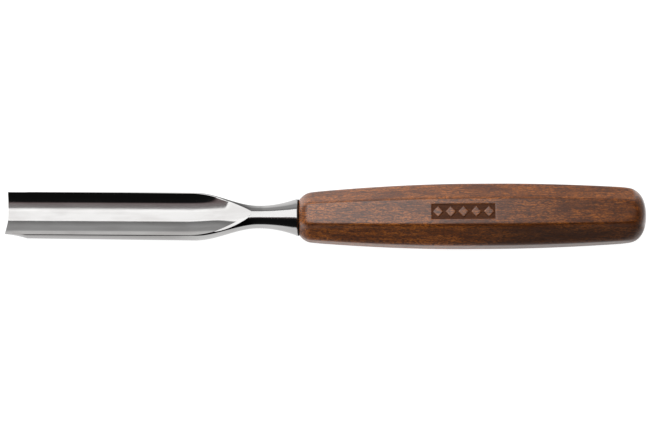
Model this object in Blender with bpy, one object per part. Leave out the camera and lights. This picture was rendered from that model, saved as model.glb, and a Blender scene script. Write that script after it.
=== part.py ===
"""V parting tool: a forged steel blade with its tang, a washer, an inner ferrule and an octagonal handle.

The tool lies along X, with the cutting edge towards -X and the butt towards +X. The channel of the blade
faces +Z, and the handle rests on its lowest facet at Z = 0. The origin is below the middle of the tool.
Lengths are in millimetres and are scaled to metres when a mesh is made. Distances along the tool are
measured from the joint between bolster and handle, with + towards the butt.
"""

import math

import bmesh
import bpy
from mathutils import Matrix, Vector

MM = 0.001
SHARP_ANGLE = math.radians(25.0)

# Overall length, from the cutting edge to the end of the butt.
TIP_X = -120.6
BUTT_X = 143.4

# Handle: an octagonal barrel, given by its width across flats.
HANDLE_WIDTH = 26.0
HANDLE_FRONT_WIDTH = 20.05
FRONT_ROUND_LENGTH = 4.7
FRONT_ROUND_DROP = 2.8
FRONT_CURVE = 1.8
BELLY_START = 69.0
BELLY_END = 79.0
BUTT_DROP = 4.7
BUTT_CURVE = 1.9
BUTT_ROUND = 6.0
BUTT_ROUND_DROP = 8.65
BUTT_FADE = 12.0
FACETS = 8
CORNER_ANGLE = math.radians(4.0)
CORNER_DROP = 0.994
FRONT_FADE = 0.7
ROUND_SIZE = 1.02
BARREL_RINGS = 9
REAR_RINGS = 7
ROUND_RINGS = 5
BUTT_TURNS = (20, 38, 54, 68, 80, 90)

# Blade: the outer contour of the forging. Squareness 2 is round, and more is squarer.
RIM_HEIGHT = 3.5
TIP_KEEL_DEPTH = 3.5
KEEL_DEPTH = 4.4
TIP_HALF_WIDTH = 9.62
BLADE_HALF_WIDTH = 10.1
RIM_SQUARENESS = 2.5
KEEL_SQUARENESS = 2.7
ROUND = 2.0
WAIST_START = -42.5
WAIST_END = -16.7
ROUNDING_START = -44.0
ROUNDING_END = -19.2
BLADE_ROLL = math.radians(9.0)
BLADE_LEAN = 0.0118
NECK_SHIFT = 0.17
NECK_SHIFT_LENGTH = 2.0
EDGE_SKEW = 0.42
SKEW_LENGTH = 25.0
SKEW_MIDDLE = 1.5
SKEW_WIDTH = 6.5

# Channel: a V with a wide rounded root, made of a root arc and two straight walls.
CHANNEL_HALF_WIDTH = 9.15
ROOT_RADIUS = 12.4
WALL_ANGLE = math.radians(36.0)
RUN_OUT_START = -45.0
RUN_OUT_POWER = 1.5
APEX_X = -19.2
FLATTEN_START = -34.0
FLATTEN_END = -25.0
FLATTEN = 0.7
BEVEL_LENGTH = 8.5
BEVEL_CROWN = 0.62
EDGE_LAND = 0.03

# Neck and bolster, both round, and the tapered square tang.
NECK_X = -15.5
NECK_RADIUS = 4.76
BOLSTER_RADIUS = 7.8
BOLSTER_CURVE = 1.85
BOLSTER_EDGE = 0.3
TANG_LENGTH = 62.0
TANG_SIDE = 6.0
TANG_END_SIDE = 3.2
SECTION_STEPS = 24
NECK_RINGS = 8

# Joint between steel and wood. Pieces that touch are drawn this far apart.
GAP = 0.3
WASHER_THICKNESS = 0.5
WASHER_RADIUS = 7.55
FERRULE_LENGTH = 9.0
FERRULE_OUTER_RADIUS = 5.7
FERRULE_INNER_RADIUS = 4.7
ROUND_STEPS = 32

MIDDLE_X = (TIP_X + BUTT_X) / 2
AXIS_Z = HANDLE_WIDTH / 2
BOLSTER_FACE_X = -WASHER_THICKNESS / 2 - GAP
HANDLE_FACE_X = WASHER_THICKNESS / 2 + GAP


def clear_scene():
    for item in list(bpy.data.objects):
        bpy.data.objects.remove(item)


def mix(low, high, share):
    return low + (high - low) * share


def smoothstep(value):
    value = min(max(value, 0.0), 1.0)
    return value * value * (3 - 2 * value)


def spread(start, end, count):
    """Evenly spaced values from start to end, both included."""
    return [mix(start, end, index / (count - 1)) for index in range(count)]


def make_material(name, color, roughness, metallic):
    material = bpy.data.materials.new(name)
    material.use_nodes = True
    shader = material.node_tree.nodes["Principled BSDF"]
    shader.inputs["Base Color"].default_value = (*color, 1.0)
    shader.inputs["Roughness"].default_value = roughness
    shader.inputs["Metallic"].default_value = metallic
    return material


def make_object(name, rings, strips, material, merge=False):
    """One object from rings of (x, y, z) points in mm and strips of faces between them."""
    mesh = bmesh.new()
    rows = [[mesh.verts.new(Vector(point) * MM) for point in ring] for ring in rings]
    strips(mesh, rows)
    if merge:
        bmesh.ops.remove_doubles(mesh, verts=mesh.verts, dist=1e-7)
    bmesh.ops.recalc_face_normals(mesh, faces=mesh.faces)
    data = bpy.data.meshes.new(name)
    mesh.to_mesh(data)
    mesh.free()
    data.materials.append(material)
    data.shade_smooth()
    data.set_sharp_from_angle(angle=SHARP_ANGLE)
    item = bpy.data.objects.new(name, data)
    bpy.context.scene.collection.objects.link(item)
    item.location = Vector((-MIDDLE_X, 0.0, AXIS_Z)) * MM
    return item


def join_rows(mesh, first, second, closed):
    """A strip of quads between two rows of the same length."""
    count = len(first)
    for index in range(count if closed else count - 1):
        after = (index + 1) % count
        mesh.faces.new((first[index], first[after], second[after], second[index]))


def closed_tube(mesh, rows):
    """Closed rings joined end to end, with a flat face on the first and the last."""
    for first, second in zip(rows, rows[1:]):
        join_rows(mesh, first, second, closed=True)
    mesh.faces.new(rows[0])
    mesh.faces.new(reversed(rows[-1]))


def turned_ring(mesh, rows):
    """Closed rings joined round in a loop, as in a washer or a bush."""
    for first, second in zip(rows, rows[1:] + rows[:1]):
        join_rows(mesh, first, second, closed=True)


def circle_ring(x, radius):
    angles = [2 * math.pi * step / ROUND_STEPS for step in range(ROUND_STEPS)]
    return [(x, radius * math.sin(angle), radius * math.cos(angle)) for angle in angles]


# ---- handle ----


def handle_width(x):
    """Width across flats of the barrel, before its two ends are rounded."""
    if x < BELLY_START:
        reach = (BELLY_START - x) / (BELLY_START - FRONT_ROUND_LENGTH)
        return HANDLE_WIDTH - (HANDLE_WIDTH - HANDLE_FRONT_WIDTH) * reach**FRONT_CURVE
    reach = max(0.0, x - BELLY_END) / (BUTT_X - BELLY_END)
    return HANDLE_WIDTH - BUTT_DROP * reach**BUTT_CURVE


def handle_half_width(x):
    """Half the width across flats at x, with the soft front shoulder and the rounded butt."""
    half = handle_width(x) / 2
    half -= FRONT_ROUND_DROP * max(0.0, 1 - x / FRONT_ROUND_LENGTH) ** 2
    into_butt = max(0.0, (x - BUTT_X) / BUTT_ROUND + 1)
    return half - BUTT_ROUND_DROP * (1 - math.sqrt(max(0.0, 1 - into_butt**2)))


def facet_fade(x):
    """How round the section is: 0 is the crisp octagon of the barrel, and 1 a circle."""
    front = 1 - smoothstep((x - HANDLE_FACE_X) / (2 * FRONT_ROUND_LENGTH))
    butt = smoothstep((x - BUTT_X + BUTT_FADE) / BUTT_FADE)
    return max(FRONT_FADE * front, butt)


def octagon_ring(x):
    """Each facet has two points on its flat, and each corner one point between two facets."""
    half, fade = handle_half_width(x), facet_fade(x)
    corner = math.pi / FACETS
    ring = []
    for facet in range(FACETS):
        for offset in (-corner + CORNER_ANGLE, corner - CORNER_ANGLE, corner):
            angle = facet * 2 * corner + offset
            sharp = half / math.cos(offset) * (CORNER_DROP if offset == corner else 1.0)
            radius = mix(sharp, half * ROUND_SIZE, fade)
            ring.append((x, radius * math.sin(angle), radius * math.cos(angle)))
    return ring


def handle_stations():
    front = [HANDLE_FACE_X + FRONT_ROUND_LENGTH * share**1.5 for share in spread(0, 1, ROUND_RINGS)]
    barrel = spread(front[-1], BELLY_START, BARREL_RINGS)[1:]
    rear = spread(BELLY_END, BUTT_X - BUTT_ROUND, REAR_RINGS)
    butt = [BUTT_X - BUTT_ROUND * (1 - math.sin(math.radians(turn))) for turn in BUTT_TURNS]
    return front + barrel + rear + butt


def add_cutter(target, name, rings):
    """Cuts a closed tube out of the target with a Boolean modifier."""
    cutter = make_object(name, rings, closed_tube, target.data.materials[0])
    cutter.hide_render = True
    cutter.display_type = "WIRE"
    cut = target.modifiers.new(name, "BOOLEAN")
    cut.operation = "DIFFERENCE"
    cut.object = cutter


def square_ring(x, side):
    """The tang's section, which is turned with the blade."""
    reach = side / math.sqrt(2)
    angles = [math.pi / 4 + math.pi / 2 * quarter + BLADE_ROLL for quarter in range(4)]
    return [(x, reach * math.sin(angle), reach * math.cos(angle)) for angle in angles]


def tang_side(x):
    return mix(TANG_SIDE, TANG_END_SIDE, (x - BOLSTER_FACE_X) / (TANG_LENGTH - BOLSTER_FACE_X))


def add_handle():
    wood = make_material("stained_beech", (0.16, 0.065, 0.035), 0.42, 0.0)
    rings = [octagon_ring(x) for x in handle_stations()]
    handle = make_object("handle", rings, closed_tube, wood)

    bush_end = HANDLE_FACE_X + GAP + FERRULE_LENGTH + GAP
    bush_radius = FERRULE_OUTER_RADIUS + GAP
    seat = [circle_ring(x, bush_radius) for x in (HANDLE_FACE_X - 1, bush_end)]
    add_cutter(handle, "ferrule_seat_cutter", seat)

    hole = [square_ring(x, tang_side(x) + 2 * GAP) for x in (bush_end - 1, TANG_LENGTH + GAP)]
    add_cutter(handle, "tang_hole_cutter", hole)


# ---- joint between steel and wood ----


def add_bush(name, start, end, inner_radius, outer_radius, material):
    corners = (start, inner_radius), (start, outer_radius), (end, outer_radius), (end, inner_radius)
    rings = [circle_ring(x, radius) for x, radius in corners]
    make_object(name, rings, turned_ring, material)


def add_washer():
    leather = make_material("dark_washer", (0.02, 0.012, 0.008), 0.6, 0.0)
    half = WASHER_THICKNESS / 2
    add_bush("bolster_washer", -half, half, FERRULE_INNER_RADIUS, WASHER_RADIUS, leather)


def add_inner_ferrule():
    steel = make_material("plain_steel", (0.45, 0.45, 0.46), 0.45, 1.0)
    start = HANDLE_FACE_X + GAP
    end = start + FERRULE_LENGTH
    add_bush("inner_ferrule", start, end, FERRULE_INNER_RADIUS, FERRULE_OUTER_RADIUS, steel)


# ---- blade ----


def channel_rise(y):
    """Height of the channel's surface above its root, at a distance y from the middle."""
    y = abs(y)
    root_end = ROOT_RADIUS * math.sin(WALL_ANGLE)
    if y <= root_end:
        return ROOT_RADIUS - math.sqrt(ROOT_RADIUS**2 - y**2)
    return ROOT_RADIUS * (1 - math.cos(WALL_ANGLE)) + (y - root_end) * math.tan(WALL_ANGLE)


ROOT_Z = RIM_HEIGHT - channel_rise(CHANNEL_HALF_WIDTH)


def cut_height(x, y):
    """Height of the cut surface: the channel, which flattens and rises as it runs out towards the neck."""
    flatten = mix(1.0, FLATTEN, smoothstep((x - FLATTEN_START) / (FLATTEN_END - FLATTEN_START)))
    reach = max(0.0, (x - RUN_OUT_START) / (APEX_X - RUN_OUT_START))
    return ROOT_Z + channel_rise(y) * flatten + (NECK_RADIUS - ROOT_Z) * reach**RUN_OUT_POWER


def body_radius(x):
    """Radius of the round neck as it flares into the bolster."""
    reach = max(0.0, (x - NECK_X) / (BOLSTER_FACE_X - NECK_X))
    return mix(NECK_RADIUS, BOLSTER_RADIUS, reach**BOLSTER_CURVE)


def body_shape(x):
    """Half width, crown height, keel depth, and the squareness of the upper and the lower half."""
    along = min(1.0, (x - TIP_X) / (WAIST_START - TIP_X))
    waist = smoothstep((x - WAIST_START) / (WAIST_END - WAIST_START))
    rounding = smoothstep((x - ROUNDING_START) / (ROUNDING_END - ROUNDING_START))
    half_width = mix(TIP_HALF_WIDTH, BLADE_HALF_WIDTH, along)
    rim_share = (1 - (CHANNEL_HALF_WIDTH / half_width) ** RIM_SQUARENESS) ** (1 / RIM_SQUARENESS)
    keel = mix(TIP_KEEL_DEPTH, KEEL_DEPTH, along)
    radius = body_radius(x)
    return (
        mix(half_width, radius, waist),
        mix(RIM_HEIGHT / rim_share, radius, rounding),
        mix(keel, radius, waist),
        mix(RIM_SQUARENESS, ROUND, rounding),
        mix(KEEL_SQUARENESS, ROUND, rounding),
    )


def body_point(shape, angle):
    """Point on the forging's outer contour. The angle is 0 at the top and pi at the keel."""
    half_width, crown, keel, upper, lower = shape
    sine, cosine = math.sin(angle), math.cos(angle)
    height, squareness = (crown, upper) if cosine > 0 else (keel, lower)
    across = abs(sine / half_width) ** squareness
    along = abs(cosine / height) ** squareness
    radius = (across + along) ** (-1 / squareness)
    return radius * sine, radius * cosine


def rim_angle(x, shape):
    """Angle at which the cut surface meets the outer contour, found by halving. It is 0 behind the apex."""
    if x >= APEX_X:
        return 0.0
    low, high = 0.0, math.pi / 2
    for _ in range(50):
        middle = (low + high) / 2
        y, z = body_point(shape, middle)
        if z > cut_height(x, y):
            low = middle
        else:
            high = middle
    return low


def channel_row(x):
    """Cut surface from the rim at +Y to the rim at -Y."""
    shape = body_shape(x)
    rim = body_point(shape, rim_angle(x, shape))[0]
    return [(x, y, cut_height(x, y)) for y in spread(rim, -rim, SECTION_STEPS + 1)]


def outside_row(x):
    """Outer contour from rim to rim round the keel. Near the tip, a bevel brings it to the cutting edge."""
    shape = body_shape(x)
    start = rim_angle(x, shape)
    angles = spread(start, 2 * math.pi - start, SECTION_STEPS + 1)
    share = max(EDGE_LAND, min(1.0, (x - TIP_X) / BEVEL_LENGTH) ** BEVEL_CROWN)
    row = []
    for angle, (_, inner_y, inner_z) in zip(angles, channel_row(x)):
        y, z = body_point(shape, angle)
        row.append((x, mix(inner_y, y, share), mix(inner_z, z, share)))
    return row


def tang_row(x, side):
    """A square section, with its points in the same order as those of the outer contour."""
    row = []
    for angle in spread(0, 2 * math.pi, SECTION_STEPS + 1):
        sine, cosine = math.sin(angle), math.cos(angle)
        radius = side / 2 / max(abs(sine), abs(cosine))
        row.append((x, radius * sine, radius * cosine))
    return row


def channel_stations():
    bevel = [TIP_X + BEVEL_LENGTH * share for share in (0, 0.1, 0.3, 0.6, 1)]
    blade = spread(bevel[-1], RUN_OUT_START, 4)[1:]
    run_out = spread(RUN_OUT_START, APEX_X, 16)[1:]
    return bevel + blade + run_out


def neck_stations():
    return spread(APEX_X, BOLSTER_FACE_X - BOLSTER_EDGE, NECK_RINGS + 2)[1:]


def blade_strips(mesh, rows):
    """Skins the outside, the channel and the two ends. The channel's rows come after those of the outside."""
    channel_count = len(channel_stations())
    outside, channel = rows[:-channel_count], rows[-channel_count:]
    for group in (outside, channel):
        for first, second in zip(group, group[1:]):
            join_rows(mesh, first, second, closed=False)
    join_rows(mesh, outside[0], channel[0], closed=False)
    mesh.faces.new(outside[-1][:-1])


def add_blade():
    steel = make_material("polished_steel", (0.62, 0.61, 0.60), 0.12, 1.0)
    cut = channel_stations()
    rows = [outside_row(x) for x in cut + neck_stations()]
    shrink = 1 - BOLSTER_EDGE / BOLSTER_RADIUS
    edge = [(BOLSTER_FACE_X, y * shrink, z * shrink) for _, y, z in rows[-1]]
    tang = [tang_row(x, tang_side(x)) for x in (BOLSTER_FACE_X, TANG_LENGTH)]
    rows += [edge, *tang]
    rows += [channel_row(x) for x in cut]
    blade = make_object("blade", rows, blade_strips, steel, merge=True)
    blade.data.transform(Matrix.Rotation(-BLADE_ROLL, 4, "X"))
    for vertex in blade.data.vertices:
        x, y, _ = vertex.co / MM
        shift = BLADE_LEAN * max(0.0, -x) + NECK_SHIFT * smoothstep(-x / NECK_SHIFT_LENGTH)
        far_share = 1 - smoothstep((-y - SKEW_MIDDLE) / SKEW_WIDTH)
        skew = EDGE_SKEW * far_share * max(0.0, 1 - (x - TIP_X) / SKEW_LENGTH)
        vertex.co += Vector((skew, shift, 0.0)) * MM


clear_scene()
add_blade()
add_washer()
add_inner_ferrule()
add_handle()
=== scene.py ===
"""Looks of the v parting tool: a polished steel blade, a dark washer and a stained octagonal handle.

Lengths are in millimetres and are scaled to metres when a mesh, light or camera is made. The tool lies along
X, which is counted from the joint between steel and wood. "Far" means towards +Y and "near" towards -Y.
"""

import math

import bmesh
import bpy
import numpy as np
from mathutils import Matrix, Vector


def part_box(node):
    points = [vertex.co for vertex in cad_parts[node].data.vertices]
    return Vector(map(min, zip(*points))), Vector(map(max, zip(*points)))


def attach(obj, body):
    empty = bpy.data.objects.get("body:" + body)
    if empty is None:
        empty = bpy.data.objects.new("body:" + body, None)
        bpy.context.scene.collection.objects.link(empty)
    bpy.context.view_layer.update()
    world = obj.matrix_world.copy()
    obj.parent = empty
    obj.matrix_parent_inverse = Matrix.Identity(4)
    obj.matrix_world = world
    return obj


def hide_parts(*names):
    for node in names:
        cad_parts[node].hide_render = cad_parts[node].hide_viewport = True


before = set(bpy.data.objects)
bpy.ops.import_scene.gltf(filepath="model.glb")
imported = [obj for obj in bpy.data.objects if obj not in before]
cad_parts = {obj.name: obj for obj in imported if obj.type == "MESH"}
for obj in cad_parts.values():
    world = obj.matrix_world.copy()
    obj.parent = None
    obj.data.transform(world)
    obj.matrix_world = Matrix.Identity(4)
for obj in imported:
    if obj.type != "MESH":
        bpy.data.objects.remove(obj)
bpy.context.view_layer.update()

MM = 0.001

# ---- places that the frame gives ----

blade_low, blade_high = (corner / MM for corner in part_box("blade"))
handle_low, handle_high = (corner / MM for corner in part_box("handle"))
washer_low, washer_high = (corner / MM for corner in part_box("bolster_washer"))
ferrule_low, ferrule_high = (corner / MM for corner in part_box("inner_ferrule"))

JOINT_X = (washer_low.x + washer_high.x) / 2
AXIS_Z = (handle_low.z + handle_high.z) / 2
TIP = blade_low.x - JOINT_X
BUTT = handle_high.x - JOINT_X
TANG_END = blade_high.x - JOINT_X
FERRULE_END = ferrule_high.x - JOINT_X
HANDLE_HALF = (handle_high.z - handle_low.z) / 2
WASHER_RADIUS = (washer_high.z - washer_low.z) / 2
HOLE_GAP = 0.3
SEAT_RADIUS = (ferrule_high.z - ferrule_low.z) / 2 + HOLE_GAP

# ---- blade ----

RIM_HEIGHT = 3.5
TIP_KEEL_DEPTH = 3.5
KEEL_DEPTH = 4.4
TIP_HALF_WIDTH = 9.56
BLADE_HALF_WIDTH = 10.1
# The upper half is squarer towards the tip, where the blade is narrower, so that its rims stay rounded.
RIM_SQUARENESS = 2.5
TIP_SQUARER = 1.6
KEEL_SQUARENESS = 2.7
ROUND = 2.0
WAIST_START = -42.5
WAIST_END = -16.7
ROUNDING_START = -44.0
ROUNDING_END = -19.2
BLADE_ROLL = math.radians(9.0)
BLADE_LEAN = 0.0118
NECK_SHIFT = 0.17
NECK_SHIFT_LENGTH = 2.0
EDGE_SKEW = 0.42
SKEW_LENGTH = 25.0
SKEW_NEAR_FROM = 1.5
SKEW_NEAR_WIDTH = 6.5

# The channel's section, as (distance from the middle, slope in degrees) on its far and on its near side.
CHANNEL_HALF_WIDTH = 9.15
FAR_WALL = ((0, 0), (2.05, 17.4), (2.6, 19.4), (5.2, 22.7), (6.4, 31.0), (7.4, 36.0), (9.5, 38.0))
NEAR_WALL = (
    (0, 0),
    (2.1, 11.25),
    (3.0, 15.0),
    (3.95, 19.25),
    (4.7, 22.25),
    (5.7, 26.25),
    (6.6, 29.25),
    (7.1, 32.25),
    (7.6, 35.25),
    (9.5, 38.0),
)
RUN_OUT_START = -45.0
RUN_OUT_POWER = 1.5
APEX = -19.2
FLATTEN_START = -30.5
FLATTEN_END = -27.0
FLATTEN = 0.7
NEAR_FLATTEN_START = -36.0
NEAR_FLATTEN_END = -24.0
NEAR_FLATTEN = 0.6
FAR_EASE_START = -41.0
FAR_EASE_END = -32.0
FAR_EASE_FROM = 5.2
FAR_EASE_SLOPE = math.tan(math.radians(21.0))
FAR_LIP_IN = 0.15
FAR_LIP_OUT = 0.14
FAR_LIP_GROWS = (-75.0, -36.0)
FAR_LIP_FADES = (-32.0, -26.5)
NEAR_LIP_AT_APEX = -0.2
NEAR_LIP_INNERMOST = -0.4
NEAR_LIP_TAPER = 0.47
NEAR_LIP_SLOPE = math.tan(math.radians(8.0))
BEVEL_LENGTH = 8.5
BEVEL_CROWN = 0.62
EDGE_LAND = 0.012
FLANK_END = -54.0
FLANK_FADE = 16.0

NECK = -15.5
NECK_RADIUS = 4.76
BOLSTER_RADIUS = 7.82
BOLSTER_CURVE = 1.85
BOLSTER_EDGE = 0.35
FIT = 0.03
WASHER_HALF = 0.25
TANG_SIDE = 6.0
TANG_END_SIDE = 3.2
WASHER_RIM = 0.12
# Midway between the ferrule's seat and a circle just outside the tang's corners.
WASHER_HOLE_RADIUS = (SEAT_RADIUS + TANG_SIDE * 0.75) / 2

SECTION_STEPS = 132
CONTOUR_SAMPLES = 1500
WALL_SAMPLES = 600
BISECTIONS = 45
BEVEL_ROWS = 26
BEVEL_GATHERING = 1.5
CHANNEL_ROWS = 36
RUN_OUT_ROWS = 130
NECK_ROWS = 60
WELD_DISTANCE = 1e-4

# ---- handle ----

HANDLE_FRONT_HALF = 10.1
FRONT_ROUND_LENGTH = 5.6
FRONT_ROUND_DROP = 2.8
FRONT_ROUND_POWER = 2.4
FRONT_CURVE = 1.8
BELLY_START = 69.0
BELLY_END = 79.0
BUTT_DROP = 2.35
BUTT_CURVE = 1.9
BUTT_ROUND = 6.0
BUTT_ROUND_DROP = 8.65
BUTT_FADE = 12.0
CREASE_POWER = 52.0
FRONT_POWER = 12.0
FRONT_FADE_START = -1.0
FRONT_FADE = 12.0
BUTT_POWER = 3.0


def mix(low, high, share):
    return low + (high - low) * share


def smoothstep(value):
    value = np.clip(value, 0.0, 1.0)
    return value * value * (3 - 2 * value)


# ---- mesh helpers ----


def mesh_object(name, build, material, sharp_degrees):
    """A smooth-shaded object in the frame. Its build function fills a bmesh in millimetres."""
    mesh = bmesh.new()
    build(mesh)
    bmesh.ops.remove_doubles(mesh, verts=mesh.verts, dist=WELD_DISTANCE)
    bmesh.ops.recalc_face_normals(mesh, faces=mesh.faces)
    bmesh.ops.transform(mesh, matrix=Matrix.Scale(MM, 4), verts=mesh.verts)
    bmesh.ops.translate(mesh, vec=Vector((JOINT_X, 0, AXIS_Z)) * MM, verts=mesh.verts)
    data = bpy.data.meshes.new(name)
    mesh.to_mesh(data)
    mesh.free()
    data.materials.append(material)
    data.shade_smooth()
    data.set_sharp_from_angle(angle=math.radians(sharp_degrees))
    item = bpy.data.objects.new(name, data)
    bpy.context.scene.collection.objects.link(item)
    return item


def add_rows(mesh, rows):
    return [[mesh.verts.new(point) for point in row] for row in rows]


def join_rows(mesh, first, second, closed=False):
    count = len(first)
    for index in range(count if closed else count - 1):
        after = (index + 1) % count
        mesh.faces.new((first[index], first[after], second[after], second[index]))


def join_all(mesh, rows, closed=False):
    for first, second in zip(rows, rows[1:]):
        join_rows(mesh, first, second, closed)


# ---- blade shape ----


def wall_rise(distance, wall):
    """Height above the root at a distance from it, from the wall's slopes."""
    places, degrees = zip(*wall)
    fine = np.linspace(0, places[-1], WALL_SAMPLES)
    slope = np.tan(np.radians(np.interp(fine, places, degrees)))
    height = np.concatenate([[0], np.cumsum((slope[1:] + slope[:-1]) / 2 * np.diff(fine))])
    return np.interp(distance, fine, height)


def channel_rise(y):
    """Height of the channel above its root. Both walls reach the rim at the same height."""
    depth = wall_rise(CHANNEL_HALF_WIDTH, NEAR_WALL)
    far = wall_rise(np.abs(y), FAR_WALL) * depth / wall_rise(CHANNEL_HALF_WIDTH, FAR_WALL)
    return np.where(y > 0, far, wall_rise(np.abs(y), NEAR_WALL))


ROOT_Z = RIM_HEIGHT - float(channel_rise(CHANNEL_HALF_WIDTH))


def cut_height(x, y):
    """Height of the cut surface: the channel, which flattens and rises as it runs out towards the neck."""
    far_share = smoothstep((x - FLATTEN_START) / (FLATTEN_END - FLATTEN_START))
    near_share = smoothstep((x - NEAR_FLATTEN_START) / (NEAR_FLATTEN_END - NEAR_FLATTEN_START))
    flatten = np.where(y > 0, mix(1.0, FLATTEN, far_share), mix(1.0, NEAR_FLATTEN, near_share))
    lip = min(NEAR_LIP_INNERMOST, NEAR_LIP_AT_APEX + NEAR_LIP_TAPER * (x - APEX))
    over = np.maximum(0.0, lip - y)
    reach = max(0.0, (x - RUN_OUT_START) / (APEX - RUN_OUT_START))
    ease = smoothstep((x - FAR_EASE_START) / (FAR_EASE_END - FAR_EASE_START))
    beyond = np.maximum(0.0, y - FAR_EASE_FROM)
    rise = channel_rise(y + over)
    rise = mix(rise, channel_rise(y + over - beyond) + beyond * FAR_EASE_SLOPE, ease)
    rise = rise * flatten + over * NEAR_LIP_SLOPE
    return ROOT_Z + rise + (NECK_RADIUS - ROOT_Z) * reach**RUN_OUT_POWER


def body_radius(x):
    """Radius of the round neck as it flares into the bolster."""
    reach = max(0.0, (x - NECK) / (-WASHER_HALF - NECK))
    return mix(NECK_RADIUS, BOLSTER_RADIUS, reach**BOLSTER_CURVE)


def body_shape(x):
    """Half width, crown height, keel depth, and the squareness of the upper and the lower half."""
    along = min(1.0, (x - TIP) / (WAIST_START - TIP))
    waist = smoothstep((x - WAIST_START) / (WAIST_END - WAIST_START))
    rounding = smoothstep((x - ROUNDING_START) / (ROUNDING_END - ROUNDING_START))
    half_width = mix(TIP_HALF_WIDTH, BLADE_HALF_WIDTH, along)
    channel_share = CHANNEL_HALF_WIDTH / half_width
    upper = RIM_SQUARENESS * math.log(CHANNEL_HALF_WIDTH / BLADE_HALF_WIDTH) / math.log(channel_share)
    upper *= mix(TIP_SQUARER, 1.0, along)
    rim_share = (1 - channel_share**upper) ** (1 / upper)
    keel = mix(TIP_KEEL_DEPTH, KEEL_DEPTH, along)
    radius = body_radius(x)
    return (
        mix(half_width, radius, waist),
        mix(RIM_HEIGHT / rim_share, radius, rounding),
        mix(keel, radius, waist),
        mix(upper, ROUND, rounding),
        mix(KEEL_SQUARENESS, ROUND, rounding),
    )


def body_points(shape, angles):
    """Points on the forging's outer contour. An angle is 0 at the top and pi at the keel."""
    half_width, crown, keel, upper, lower = shape
    sine, cosine = np.sin(angles), np.cos(angles)
    height = np.where(cosine > 0, crown, keel)
    squareness = np.where(cosine > 0, upper, lower)
    across = np.abs(sine / half_width) ** squareness
    radius = (across + np.abs(cosine / height) ** squareness) ** (-1 / squareness)
    return radius * sine, radius * cosine


def rim_angle(x, shape, side):
    """Where the cut meets the outer contour between its top and one side. It is 0 from the apex on."""
    if x >= APEX:
        return 0.0
    low, high = 0.0, side
    for _ in range(BISECTIONS):
        middle = (low + high) / 2
        y, z = body_points(shape, np.array([middle]))
        if z[0] > cut_height(x, y)[0]:
            low = middle
        else:
            high = middle
    return low


def even_contour(shape, start, end):
    """Points on the outer contour, closer together where it turns more."""
    angles = np.linspace(start, end, CONTOUR_SAMPLES)
    y, z = body_points(shape, angles)
    step_y, step_z = np.diff(y), np.diff(z)
    length = np.hypot(step_y, step_z)
    heading = np.unwrap(np.arctan2(step_z, step_y))
    turn = np.abs(np.diff(heading, prepend=heading[0]))
    weight = length / length.sum() + turn / max(turn.sum(), 1e-6)
    reach = np.concatenate([[0], np.cumsum(weight)])
    wanted = np.linspace(0, reach[-1], SECTION_STEPS + 1)
    return body_points(shape, np.interp(wanted, reach, angles))


def far_lip(x):
    """How wide the small chamfer on the far rim is: 0 near the tip and at the neck, and 1 at most."""
    grown, faded = (
        float(smoothstep((x - start) / (end - start))) for start, end in (FAR_LIP_GROWS, FAR_LIP_FADES)
    )
    return grown * (1 - faded)


def blade_rows(x):
    """Outer contour from the far rim round the keel to the near rim, and the cut surface between the rims.

    In the bevel the points gather at the rims, so that its outline starts at the cutting edge's corners.
    """
    shape = body_shape(x)
    far, near = rim_angle(x, shape, math.pi / 2), rim_angle(x, shape, -math.pi / 2)
    rim_y, _ = body_points(shape, np.array([far, near]))
    lip = far_lip(x)
    y, z = even_contour(shape, far + lip * FAR_LIP_OUT / BLADE_HALF_WIDTH, 2 * math.pi + near)
    even = np.linspace(0, 1, SECTION_STEPS + 2)
    gathered = smoothstep(smoothstep(even))
    in_bevel = 1 - min(1.0, (x - TIP) / BEVEL_LENGTH)
    inner_y = mix(rim_y[0] - lip * FAR_LIP_IN, rim_y[1], mix(even, gathered, in_bevel))
    inner_z = np.minimum(cut_height(x, inner_y), z.max())
    y, z = np.r_[inner_y[0], y], np.r_[inner_z[0], z]
    share = max(EDGE_LAND, min(1.0, (x - TIP) / BEVEL_LENGTH) ** BEVEL_CROWN)
    y, z = mix(inner_y, y, share), mix(inner_z, z, share)
    return points_at(x, y, z), points_at(x, inner_y, inner_z)


def points_at(x, y, z):
    return [(x, float(a), float(b)) for a, b in zip(y, z)]


def tang_side(x):
    return mix(TANG_SIDE, TANG_END_SIDE, (x + WASHER_HALF) / (TANG_END + WASHER_HALF))


def square_row(x, side, angles):
    sine, cosine = np.sin(angles), np.cos(angles)
    radius = side / 2 / np.maximum(np.abs(sine), np.abs(cosine))
    return points_at(x, radius * sine, radius * cosine)


def blade_stations():
    bevel = TIP + BEVEL_LENGTH * np.linspace(0, 1, BEVEL_ROWS) ** BEVEL_GATHERING
    channel = np.linspace(bevel[-1], RUN_OUT_START, CHANNEL_ROWS)[1:]
    run_out = np.linspace(RUN_OUT_START, APEX, RUN_OUT_ROWS)[1:]
    return [float(x) for x in np.concatenate([bevel, channel, run_out])]


def neck_stations():
    face = -WASHER_HALF - FIT
    return [float(x) for x in np.linspace(APEX, face - BOLSTER_EDGE, NECK_ROWS)[1:]]


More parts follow.
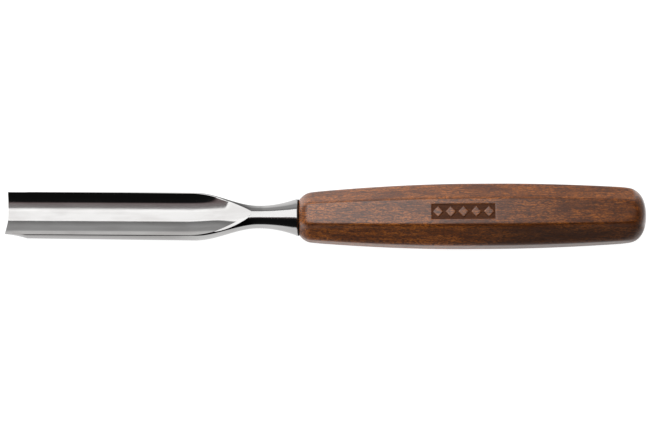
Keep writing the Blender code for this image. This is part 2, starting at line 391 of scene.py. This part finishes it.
def build_blade(mesh):
    flank = mesh.verts.layers.float.new("flank")
    both = [blade_rows(x) for x in blade_stations()]
    channel = [inner for _, inner in both]
    outside = [outer for outer, _ in both] + [blade_rows(x)[0] for x in neck_stations()]
    face = -WASHER_HALF - FIT
    bolster = outside[-1]
    for degrees in (30, 60, 90):
        turn = math.radians(degrees)
        shrink = 1 - BOLSTER_EDGE * (1 - math.cos(turn)) / BOLSTER_RADIUS
        x = face - BOLSTER_EDGE * (1 - math.sin(turn))
        outside.append([(x, y * shrink, z * shrink) for _, y, z in bolster])
    angles = np.linspace(0, 2 * math.pi, SECTION_STEPS + 2)
    shank = [square_row(x, tang_side(x), angles) for x in (face, TANG_END)]
    skin, cut = add_rows(mesh, outside + shank), add_rows(mesh, channel)
    join_all(mesh, skin)
    join_all(mesh, cut)
    # The flank's weight, fading out towards the neck: the material makes the flank rougher and darkens it
    # with painted shade.
    for row in skin:
        for vert in row[1:-1]:
            vert[flank] = 1 - float(smoothstep((vert.co.x - FLANK_END) / FLANK_FADE))
    join_rows(mesh, skin[0], cut[0])
    mesh.faces.new(skin[-1][:-1])
    bmesh.ops.rotate(mesh, matrix=Matrix.Rotation(-BLADE_ROLL, 3, "X"), verts=mesh.verts)
    for vert in mesh.verts:
        x, y, _ = vert.co
        vert.co.y += BLADE_LEAN * max(0.0, -x) + NECK_SHIFT * float(smoothstep(-x / NECK_SHIFT_LENGTH))
        back_from_near = 1 - float(smoothstep((-y - SKEW_NEAR_FROM) / SKEW_NEAR_WIDTH))
        vert.co.x += EDGE_SKEW * back_from_near * max(0.0, 1 - (x - TIP) / SKEW_LENGTH)


# ---- handle shape ----

MARK_CENTRE = 67.5
MARK_LENGTH = 26.0
MARK_WIDTH = 6.2
MARK_DEPTH = 0.22
MARK_EDGE = 0.16
MARK_MARGIN = 0.6
LOZENGES = 5
LOZENGE_LENGTH = 0.40
LOZENGE_WIDTH = 0.36
LOZENGE_SHARPNESS = 1.4

TOP_FACET_STEPS = 54
FACET_STEPS = 14
CORNER_GATHERING = 1.4
SHOULDER_ROWS = 26
SHOULDER_REACH = 1.6
SHOULDER_GATHERING = 1.6
BARREL_ROWS = 36
MARK_ROWS = 150
BUTT_ROWS = 26


def handle_half(x):
    """Half the width across flats, with the soft front shoulder and the rounded butt."""
    if x < BELLY_START:
        reach = (BELLY_START - x) / (BELLY_START - FRONT_ROUND_LENGTH)
        half = HANDLE_HALF - (HANDLE_HALF - HANDLE_FRONT_HALF) * reach**FRONT_CURVE
    else:
        reach = max(0.0, x - BELLY_END) / (BUTT - BELLY_END)
        half = HANDLE_HALF - BUTT_DROP * reach**BUTT_CURVE
    half -= FRONT_ROUND_DROP * max(0.0, 1 - x / FRONT_ROUND_LENGTH) ** FRONT_ROUND_POWER
    into_butt = min(1.0, max(0.0, (x - BUTT) / BUTT_ROUND + 1))
    return half - BUTT_ROUND_DROP * (1 - math.sqrt(1 - into_butt**2))


def crease_power(x):
    """How crisp the corners between the facets are. They soften towards both ends."""
    front = float(smoothstep((x - FRONT_FADE_START) / FRONT_FADE))
    butt = float(smoothstep((BUTT - x) / BUTT_FADE))
    return min(mix(FRONT_POWER, CREASE_POWER, front), mix(BUTT_POWER, CREASE_POWER, butt**2))


def facet_angles():
    """Angles round the section from one corner of the top facet, which is finely divided for its mark.

    On the other facets the angles gather at the corners.
    """
    corner = math.pi / 8
    fine = np.linspace(-corner, corner, TOP_FACET_STEPS + 1)[:-1]
    share = np.linspace(-1, 1, FACET_STEPS + 1)[:-1]
    bent = np.sign(share) * (1 - (1 - np.abs(share)) ** CORNER_GATHERING)
    rest = [(2 * facet + bent) * corner for facet in range(1, 8)]
    return np.concatenate([fine, *rest])


FACET_ANGLES = facet_angles()


def octagon_row(x):
    """An octagon with rounded corners, as a smooth norm of four facet directions."""
    power = crease_power(x)
    turns = [np.abs(np.cos(FACET_ANGLES - k * math.pi / 4)) ** power for k in range(4)]
    flat = (1 + 2 * math.cos(math.pi / 4) ** power) ** (1 / power)
    radius = handle_half(x) * flat / sum(turns) ** (1 / power)
    return radius * np.sin(FACET_ANGLES), radius * np.cos(FACET_ANGLES)


def soft_step(distance, width):
    return smoothstep(distance / width + 0.5)


def mark_amount(x, y):
    """Generic pressed ornament: a bar with a row of lozenges left standing in it. 1 is fully pressed in."""
    along, across = x - MARK_CENTRE, np.abs(y)
    bar = soft_step(MARK_LENGTH / 2 - abs(along), MARK_EDGE) * soft_step(MARK_WIDTH / 2 - across, MARK_EDGE)
    pitch = MARK_LENGTH / LOZENGES
    nearest = abs((along + MARK_LENGTH / 2) % pitch - pitch / 2)
    lozenge = 1 - nearest / (pitch * LOZENGE_LENGTH) - across / (MARK_WIDTH * LOZENGE_WIDTH)
    return bar * (1 - soft_step(lozenge * LOZENGE_SHARPNESS, MARK_EDGE))


def handle_stations():
    face = WASHER_HALF + FIT
    shoulder = FRONT_ROUND_LENGTH * SHOULDER_REACH
    front = face + shoulder * np.linspace(0, 1, SHOULDER_ROWS) ** SHOULDER_GATHERING
    mark_start = MARK_CENTRE - MARK_LENGTH / 2 - MARK_MARGIN
    mark_end = MARK_CENTRE + MARK_LENGTH / 2 + MARK_MARGIN
    barrel = np.linspace(front[-1], mark_start, BARREL_ROWS)[1:]
    mark = np.linspace(mark_start, mark_end, MARK_ROWS)[1:]
    rear = np.linspace(mark_end, BUTT - BUTT_ROUND, BARREL_ROWS)[1:]
    turns = np.radians(np.linspace(0, 90, BUTT_ROWS)[1:])
    butt = BUTT - BUTT_ROUND + BUTT_ROUND * np.sin(turns)
    return [float(x) for x in np.concatenate([front, barrel, mark, rear, butt])]


def round_row(x, radius):
    return points_at(x, radius * np.sin(FACET_ANGLES), radius * np.cos(FACET_ANGLES))


def hole_row(x):
    """The tang's hole, which is turned with the blade and has its points at the facets' angles."""
    turned = FACET_ANGLES - BLADE_ROLL
    radius = (tang_side(x) / 2 + HOLE_GAP) / np.maximum(np.abs(np.sin(turned)), np.abs(np.cos(turned)))
    return points_at(x, radius * np.sin(FACET_ANGLES), radius * np.cos(FACET_ANGLES))


def build_handle(mesh):
    """Outer skin from the joint to the butt, and inside it the ferrule's seat and the blind tang hole."""
    face = WASHER_HALF + FIT
    seat_end = FERRULE_END + HOLE_GAP
    bottom = TANG_END + HOLE_GAP
    inside = [
        hole_row(bottom),
        hole_row(seat_end),
        round_row(seat_end, SEAT_RADIUS),
        round_row(face, SEAT_RADIUS),
    ]
    pressed = mesh.verts.layers.float.new("pressed")
    skin = []
    for x in handle_stations():
        y, z = octagon_row(x)
        depth = np.where(z > 0, mark_amount(x, y), 0.0) if abs(x - MARK_CENTRE) < MARK_LENGTH else 0 * y
        row = [mesh.verts.new((x, a, b - MARK_DEPTH * d)) for a, b, d in zip(y, z, depth)]
        for vert, amount in zip(row, depth):
            vert[pressed] = float(amount)
        skin.append(row)
    rows = add_rows(mesh, inside) + skin
    join_all(mesh, rows, closed=True)
    mesh.faces.new(rows[0])
    mesh.faces.new(reversed(rows[-1]))


def build_washer(mesh):
    """A thin disc with a rounded rim and a hole that clears the tang."""
    outline = [(-WASHER_HALF, WASHER_HOLE_RADIUS)]
    for degrees in range(0, 181, 30):
        turn = math.radians(degrees)
        outline.append((-WASHER_HALF * math.cos(turn), WASHER_RADIUS - WASHER_RIM * (1 - math.sin(turn))))
    outline.append((WASHER_HALF, WASHER_HOLE_RADIUS))
    rows = add_rows(mesh, [round_row(x, radius) for x, radius in outline])
    join_all(mesh, rows + rows[:1], closed=True)


# ---- material helpers ----


class Nodes:
    """A short way to build a material's node tree."""

    def __init__(self, name):
        self.material = bpy.data.materials.new(name)
        self.material.use_nodes = True
        self.tree = self.material.node_tree
        self.shader = self.tree.nodes["Principled BSDF"]
        self.place = self.tree.nodes.new("ShaderNodeTexCoord").outputs["Object"]

    def link(self, source, target):
        self.tree.links.new(source, target)

    def fill(self, socket, value):
        if isinstance(value, bpy.types.NodeSocket):
            self.link(value, socket)
        else:
            socket.default_value = value

    def stretch(self, scale, offset=(0, 0, 0)):
        """The object's coordinates, in millimetres, scaled for each axis."""
        node = self.tree.nodes.new("ShaderNodeMapping")
        node.inputs["Scale"].default_value = [value / MM for value in scale]
        node.inputs["Location"].default_value = offset
        self.link(self.place, node.inputs["Vector"])
        return node.outputs["Vector"]

    def noise(self, vector, detail, rough=0.55, distortion=0.0):
        node = self.tree.nodes.new("ShaderNodeTexNoise")
        self.link(vector, node.inputs["Vector"])
        node.inputs["Scale"].default_value = 1.0
        node.inputs["Detail"].default_value = detail
        node.inputs["Roughness"].default_value = rough
        node.inputs["Distortion"].default_value = distortion
        return node.outputs["Fac"]

    def voronoi(self, vector):
        node = self.tree.nodes.new("ShaderNodeTexVoronoi")
        self.link(vector, node.inputs["Vector"])
        node.inputs["Scale"].default_value = 1.0
        return node.outputs["Distance"]

    def math(self, operation, first, second):
        node = self.tree.nodes.new("ShaderNodeMath")
        node.operation = operation
        self.fill(node.inputs[0], first)
        self.fill(node.inputs[1], second)
        return node.outputs[0]

    def remap(self, value, low, high, new_low=0.0, new_high=1.0):
        node = self.tree.nodes.new("ShaderNodeMapRange")
        node.interpolation_type = "SMOOTHSTEP"
        self.link(value, node.inputs["Value"])
        for socket, number in zip(node.inputs[1:5], (low, high, new_low, new_high)):
            socket.default_value = number
        return node.outputs["Result"]

    def blend(self, share, first, second):
        node = self.tree.nodes.new("ShaderNodeMix")
        node.data_type = "RGBA"
        self.fill(node.inputs[0], share)
        self.fill(node.inputs[6], first)
        self.fill(node.inputs[7], second)
        return node.outputs[2]

    def axis(self, name):
        """One of the object's coordinates, in metres."""
        node = self.tree.nodes.new("ShaderNodeSeparateXYZ")
        self.link(self.place, node.inputs[0])
        return node.outputs[name]

    def attribute(self, name):
        node = self.tree.nodes.new("ShaderNodeAttribute")
        node.attribute_name = name
        return node.outputs["Fac"]

    def bump(self, height, distance, strength):
        """Small relief, with its distance in millimetres."""
        node = self.tree.nodes.new("ShaderNodeBump")
        node.inputs["Distance"].default_value = distance * MM
        node.inputs["Strength"].default_value = strength
        self.link(height, node.inputs["Height"])
        self.link(node.outputs["Normal"], self.shader.inputs["Normal"])
        return node.outputs["Normal"]

    def set(self, **values):
        for name, value in values.items():
            self.fill(self.shader.inputs[name.replace("_", " ")], value)


def color(red, green, blue):
    return (red, green, blue, 1.0)


# ---- materials ----


def polished_steel():
    """Mirror-polished steel with faint lengthwise streaks. The blade's outside is a little rougher, and a
    little darker with painted shade of the floor it reflects.
    """
    nodes = Nodes("polished_steel")
    streaks = nodes.noise(nodes.stretch((0.05, 5.0, 5.0)), detail=3.0, rough=0.6)
    fine = nodes.noise(nodes.stretch((0.15, 16.0, 16.0)), detail=2.0)
    clouds = nodes.noise(nodes.stretch((0.06, 0.22, 0.22)), detail=2.0)
    tint = nodes.blend(nodes.remap(clouds, 0.35, 0.65), color(0.48, 0.47, 0.465), color(0.53, 0.525, 0.52))
    shade = nodes.blend(nodes.remap(streaks, 0.55, 0.8, 0.0, 0.25), tint, color(0.36, 0.35, 0.345))
    rough = nodes.remap(streaks, 0.3, 0.7, 0.05, 0.10)
    rough = nodes.math("ADD", rough, nodes.remap(fine, 0.4, 0.7, 0.0, 0.03))
    flank = nodes.attribute("flank")
    # The flank is a little rougher, and its darker colour is painted shade for the shadowed floor that it
    # reflects.
    shade = nodes.blend(flank, shade, color(0.37, 0.36, 0.355))
    rough = nodes.math("ADD", rough, nodes.math("MULTIPLY", flank, 0.08))
    nodes.set(Metallic=1.0, Base_Color=shade, Roughness=rough)
    height = nodes.math("ADD", streaks, nodes.math("MULTIPLY", fine, 0.4))
    nodes.bump(height, 0.004, 0.35)
    return nodes.material


def washer_dark():
    nodes = Nodes("dark_washer")
    grain = nodes.noise(nodes.stretch((2.0, 3.0, 3.0)), detail=5.0)
    dark, light = color(0.004, 0.003, 0.002), color(0.016, 0.010, 0.007)
    shade = nodes.blend(nodes.remap(grain, 0.3, 0.7), dark, light)
    nodes.set(Base_Color=shade, Roughness=nodes.remap(grain, 0.3, 0.7, 0.6, 0.8))
    nodes.shader.inputs["Specular IOR Level"].default_value = 0.15
    nodes.bump(grain, 0.03, 0.5)
    return nodes.material


def plain_steel():
    nodes = Nodes("plain_steel")
    turned = nodes.noise(nodes.stretch((6.0, 0.4, 0.4)), detail=3.0)
    shade = nodes.blend(nodes.remap(turned, 0.3, 0.7), color(0.38, 0.38, 0.39), color(0.52, 0.52, 0.53))
    nodes.set(Metallic=1.0, Base_Color=shade, Roughness=nodes.remap(turned, 0.3, 0.7, 0.3, 0.5))
    nodes.bump(turned, 0.01, 0.4)
    return nodes.material


def stained_wood():
    """Stained beech under a satin varnish: mottled, with growth bands, long grain and short dark flecks.

    Its near side has painted shade that darkens it towards the butt, where the light falls off. The coat
    leaves out the near facets and the mark.
    """
    nodes = Nodes("stained_wood")
    mottle = nodes.noise(nodes.stretch((0.05, 0.24, 0.24)), detail=3.0, distortion=0.8)
    bands = nodes.noise(nodes.stretch((0.02, 0.55, 0.55), (3, 1, 5)), detail=4.0, rough=0.6)
    grain = nodes.noise(nodes.stretch((0.20, 1.7, 1.7)), detail=4.0, rough=0.65, distortion=0.2)
    fleck = nodes.noise(nodes.stretch((0.65, 2.5, 2.5), (7, 3, 1)), detail=2.0, rough=0.5)
    pore = nodes.voronoi(nodes.stretch((0.8, 3.4, 3.4)))
    speck = nodes.noise(nodes.stretch((1.1, 3.0, 3.0), (2, 9, 4)), detail=1.0)

    dark, light = color(0.195, 0.050, 0.005), color(0.465, 0.136, 0.018)
    tone = nodes.blend(nodes.remap(mottle, 0.40, 0.60), dark, light)
    tone = nodes.blend(nodes.remap(bands, 0.44, 0.64, 0.0, 0.7), tone, color(0.520, 0.150, 0.016))
    tone = nodes.blend(nodes.remap(grain, 0.46, 0.62, 0.0, 0.82), tone, color(0.105, 0.026, 0.004))
    tone = nodes.blend(nodes.remap(fleck, 0.53, 0.59, 0.0, 0.85), tone, color(0.060, 0.016, 0.003))
    tone = nodes.blend(nodes.remap(speck, 0.42, 0.56, 0.60, 0.0), tone, color(0.060, 0.016, 0.003))
    tone = nodes.blend(nodes.remap(pore, 0.08, 0.30, 0.75, 0.0), tone, color(0.045, 0.012, 0.003))
    # Painted shade: the near facets darken towards the butt, standing in for the light falling off along the
    # handle.
    front = nodes.remap(nodes.axis("Y"), -0.0085, -0.0040, 1.0, 0.0)
    painted_butt_shade = nodes.math("MULTIPLY", front, nodes.remap(nodes.axis("X"), 0.045, 0.085, 0.0, 0.72))
    tone = nodes.blend(painted_butt_shade, tone, color(0.030, 0.009, 0.002))
    pressed = nodes.attribute("pressed")
    tone = nodes.blend(nodes.math("MULTIPLY", pressed, 0.85), tone, color(0.062, 0.017, 0.004))

    rough = nodes.remap(grain, 0.3, 0.7, 0.31, 0.39)
    rough = nodes.math("ADD", rough, nodes.math("MULTIPLY", pressed, 0.25))
    varnish = nodes.remap(nodes.axis("Y"), -0.0066, -0.0046, 0.0, 1.0)
    varnish = nodes.math("MULTIPLY", varnish, nodes.remap(pressed, 0.0, 1.0, 1.0, 0.0))
    nodes.set(Base_Color=tone, Roughness=rough, Coat_Weight=varnish)
    nodes.shader.inputs["Specular IOR Level"].default_value = 0.4
    nodes.shader.inputs["Coat IOR"].default_value = 1.72
    nodes.shader.inputs["Coat Roughness"].default_value = 0.33
    height = nodes.math("ADD", nodes.math("MULTIPLY", grain, 0.8), nodes.math("MULTIPLY", fleck, -0.5))
    height = nodes.math("ADD", height, nodes.remap(pore, 0.0, 0.2, -0.6, 0.0))
    nodes.link(nodes.bump(height, 0.07, 0.6), nodes.shader.inputs["Coat Normal"])
    return nodes.material


# ---- object ----


def add_tool():
    steel, wood = polished_steel(), stained_wood()
    pieces = (
        ("polished_blade", build_blade, steel, 28, "blade", "polished_steel"),
        ("joint_washer", build_washer, washer_dark(), 40, "bolster_washer", "washer"),
        ("octagonal_handle", build_handle, wood, 60, "handle", "stained_wood"),
    )
    for name, build, material, sharp, node, slot in pieces:
        piece = mesh_object(name, build, material, sharp)
        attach(piece, "root")
        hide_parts(node)
    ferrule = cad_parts["inner_ferrule"]
    ferrule.data.materials.clear()
    ferrule.data.materials.append(plain_steel())


# ---- studio ----

CAMERA_TILT = math.radians(9.5)
CAMERA_TURN = math.radians(-0.37)
CAMERA_DISTANCE = 800.0
PICTURE_LENGTH = 269.9
SENSOR = 36.0
AIM_Y = 0.2

SOFTBOX_DISTANCE = 1400.0
SOFTBOX_FROM = math.radians(-8.5)
SOFTBOX_TO = math.radians(50.0)
SOFTBOX_LEFT = -1500.0
SOFTBOX_RIGHT = 200.0
SOFTBOX_RADIANCE = 1.6
FLOOR_SIZE = 12000.0
FLOOR_DROP = 0.2

FILL_PLACE = (-160.0, 200.0, 330.0)
FILL_AIM = 60.0
FILL_SIZE = 160.0
FILL_POWER = 0.86

# Brightness of the studio round the tool's axis, as (degrees from straight up towards +Y, level, warmth).
STUDIO_BANDS = (
    (-180, 1.0, 0),
    (-92.5, 1.0, 0),
    (-88.5, 0.4, 0),
    (-84.5, 0.012, 0),
    (-40, 0.008, 0),
    (-18.5, 0.012, 0),
    (-17, 0.09, 0.25),
    (-15, 0.22, 0.25),
    (-13, 0.31, 0.15),
    (-8, 0.31, 0),
    (0, 0.06, 0),
    (42, 0.06, 0),
    (49, 0.3, 0),
    (54, 0.3, 0),
    (60, 0.36, 0),
    (66, 0.44, 0),
    (72, 0.5, 0),
    (80, 0.47, 0),
    (87, 0.48, 0),
    (93, 0.65, 0),
    (100, 0.9, 0),
    (120, 1.0, 0),
    (180, 1.0, 0),
)
# How much of that brightness is left towards each end of the tool, as (direction's X share, part left).
STUDIO_ENDS = ((-0.08, 1.0), (0.12, 0.2), (0.3, 0.2), (0.42, 0.9), (0.56, 0.9), (0.72, 0.25))
# Directions with Z + LEAN * Y under LEVEL, below the tool and low in front of it, aren't dimmed.
UNDIMMED_LEAN = 0.6
UNDIMMED_LEVEL = -0.55


def add_camera():
    """Almost overhead, leaning a little towards the front, and turned a little in its own plane."""
    data = bpy.data.cameras.new("camera")
    data.sensor_width = SENSOR
    data.lens = SENSOR * CAMERA_DISTANCE / PICTURE_LENGTH
    data.clip_end = 50
    camera = bpy.data.objects.new("camera", data)
    bpy.context.scene.collection.objects.link(camera)
    back = Vector((0, -math.sin(CAMERA_TILT), math.cos(CAMERA_TILT)))
    aim = Vector((0, AIM_Y, AXIS_Z))
    turn = Matrix.Rotation(CAMERA_TILT, 4, "X") @ Matrix.Rotation(CAMERA_TURN, 4, "Z")
    camera.matrix_world = Matrix.Translation((aim + back * CAMERA_DISTANCE) * MM) @ turn
    bpy.context.scene.camera = camera


def add_softbox():
    """One large softbox overhead. It ends above the handle, so the sheen fades towards the butt."""
    middle = (SOFTBOX_FROM + SOFTBOX_TO) / 2
    width = 2 * SOFTBOX_DISTANCE * math.tan((SOFTBOX_TO - SOFTBOX_FROM) / 2)
    length = SOFTBOX_RIGHT - SOFTBOX_LEFT
    data = bpy.data.lights.new("softbox", "AREA")
    data.shape = "RECTANGLE"
    data.size, data.size_y = length * MM, width * MM
    data.energy = SOFTBOX_RADIANCE * math.pi * length * MM * width * MM
    light = bpy.data.objects.new("softbox", data)
    bpy.context.scene.collection.objects.link(light)
    away = Vector((0, math.sin(middle), math.cos(middle))) * SOFTBOX_DISTANCE
    place = away + Vector(((SOFTBOX_LEFT + SOFTBOX_RIGHT) / 2, 0, AXIS_Z))
    light.matrix_world = Matrix.Translation(place * MM) @ Matrix.Rotation(-middle, 4, "X")
    light.visible_camera = False


def add_fill():
    """A small soft light near the neck. It lifts only matt surfaces and falls off towards the butt."""
    data = bpy.data.lights.new("fill", "AREA")
    data.shape = "DISK"
    data.size = FILL_SIZE * MM
    data.energy = FILL_POWER
    light = bpy.data.objects.new("fill", data)
    bpy.context.scene.collection.objects.link(light)
    place = Vector(FILL_PLACE)
    aim = Vector((FILL_AIM, 0, AXIS_Z))
    turn = (aim - place).to_track_quat("-Z", "Y").to_matrix().to_4x4()
    light.matrix_world = Matrix.Translation(place * MM) @ turn
    light.visible_camera = False
    light.visible_glossy = False


def add_ramp(tree, value, low, high, stops):
    """A color ramp over the range from low to high, from stops of (value, color)."""
    spread = tree.nodes.new("ShaderNodeMapRange")
    tree.links.new(value, spread.inputs["Value"])
    for socket, number in zip(spread.inputs[1:3], (low, high)):
        socket.default_value = number
    ramp = tree.nodes.new("ShaderNodeValToRGB")
    tree.links.new(spread.outputs["Result"], ramp.inputs["Fac"])
    elements = ramp.color_ramp.elements
    for element, (place, shade) in zip(elements, (stops[0], stops[-1])):
        element.position = (place - low) / (high - low)
        element.color = shade
    for place, shade in stops[1:-1]:
        elements.new((place - low) / (high - low)).color = shade
    return ramp.outputs["Color"]


def add_math(tree, operation, *values):
    node = tree.nodes.new("ShaderNodeMath")
    node.operation = operation
    for socket, value in zip(node.inputs, values):
        if isinstance(value, bpy.types.NodeSocket):
            tree.links.new(value, socket)
        else:
            socket.default_value = value
    return node.outputs[0]


def add_world():
    """Studio walls as bands of brightness round the tool's axis: dark in front and grey behind."""
    world = bpy.data.worlds.new("studio")
    bpy.context.scene.world = world
    world.use_nodes = True
    tree = world.node_tree
    background = tree.nodes["Background"]
    split = tree.nodes.new("ShaderNodeSeparateXYZ")
    tree.links.new(tree.nodes.new("ShaderNodeTexCoord").outputs["Generated"], split.inputs[0])
    x, y, z = split.outputs
    bands = []
    for degrees, level, warmth in STUDIO_BANDS:
        cool = level * (1 - warmth)
        bands.append((math.radians(degrees), color(level, cool, cool)))
    around = add_ramp(tree, add_math(tree, "ARCTAN2", y, z), -math.pi, math.pi, bands)
    tree.links.new(around, background.inputs["Color"])
    ends = add_ramp(tree, x, -1, 1, [(share, color(level, level, level)) for share, level in STUDIO_ENDS])
    height = add_math(tree, "MULTIPLY_ADD", y, UNDIMMED_LEAN, z)
    keep = tree.nodes.new("ShaderNodeMix")
    keep.data_type = "FLOAT"
    tree.links.new(add_math(tree, "GREATER_THAN", height, UNDIMMED_LEVEL), keep.inputs[0])
    keep.inputs[2].default_value = 1.0
    tree.links.new(ends, keep.inputs[3])
    tree.links.new(keep.outputs[0], background.inputs["Strength"])


def add_floor():
    """A plain pale floor that is evenly bright, so that it stays plain out to its far edge."""
    bpy.ops.mesh.primitive_plane_add(size=FLOOR_SIZE * MM, location=(0, 0, -FLOOR_DROP * MM))
    floor = bpy.context.object
    floor.name = "floor"
    nodes = Nodes("pale_floor")
    nodes.set(Base_Color=color(0.2, 0.2, 0.2), Roughness=0.9)
    nodes.shader.inputs["Emission Color"].default_value = color(1, 1, 1)
    nodes.shader.inputs["Emission Strength"].default_value = 1.0
    floor.data.materials.append(nodes.material)
    floor.visible_glossy = False


bpy.context.scene.view_settings.view_transform = "Standard"
add_tool()
add_camera()
add_softbox()
add_fill()
add_world()
add_floor()
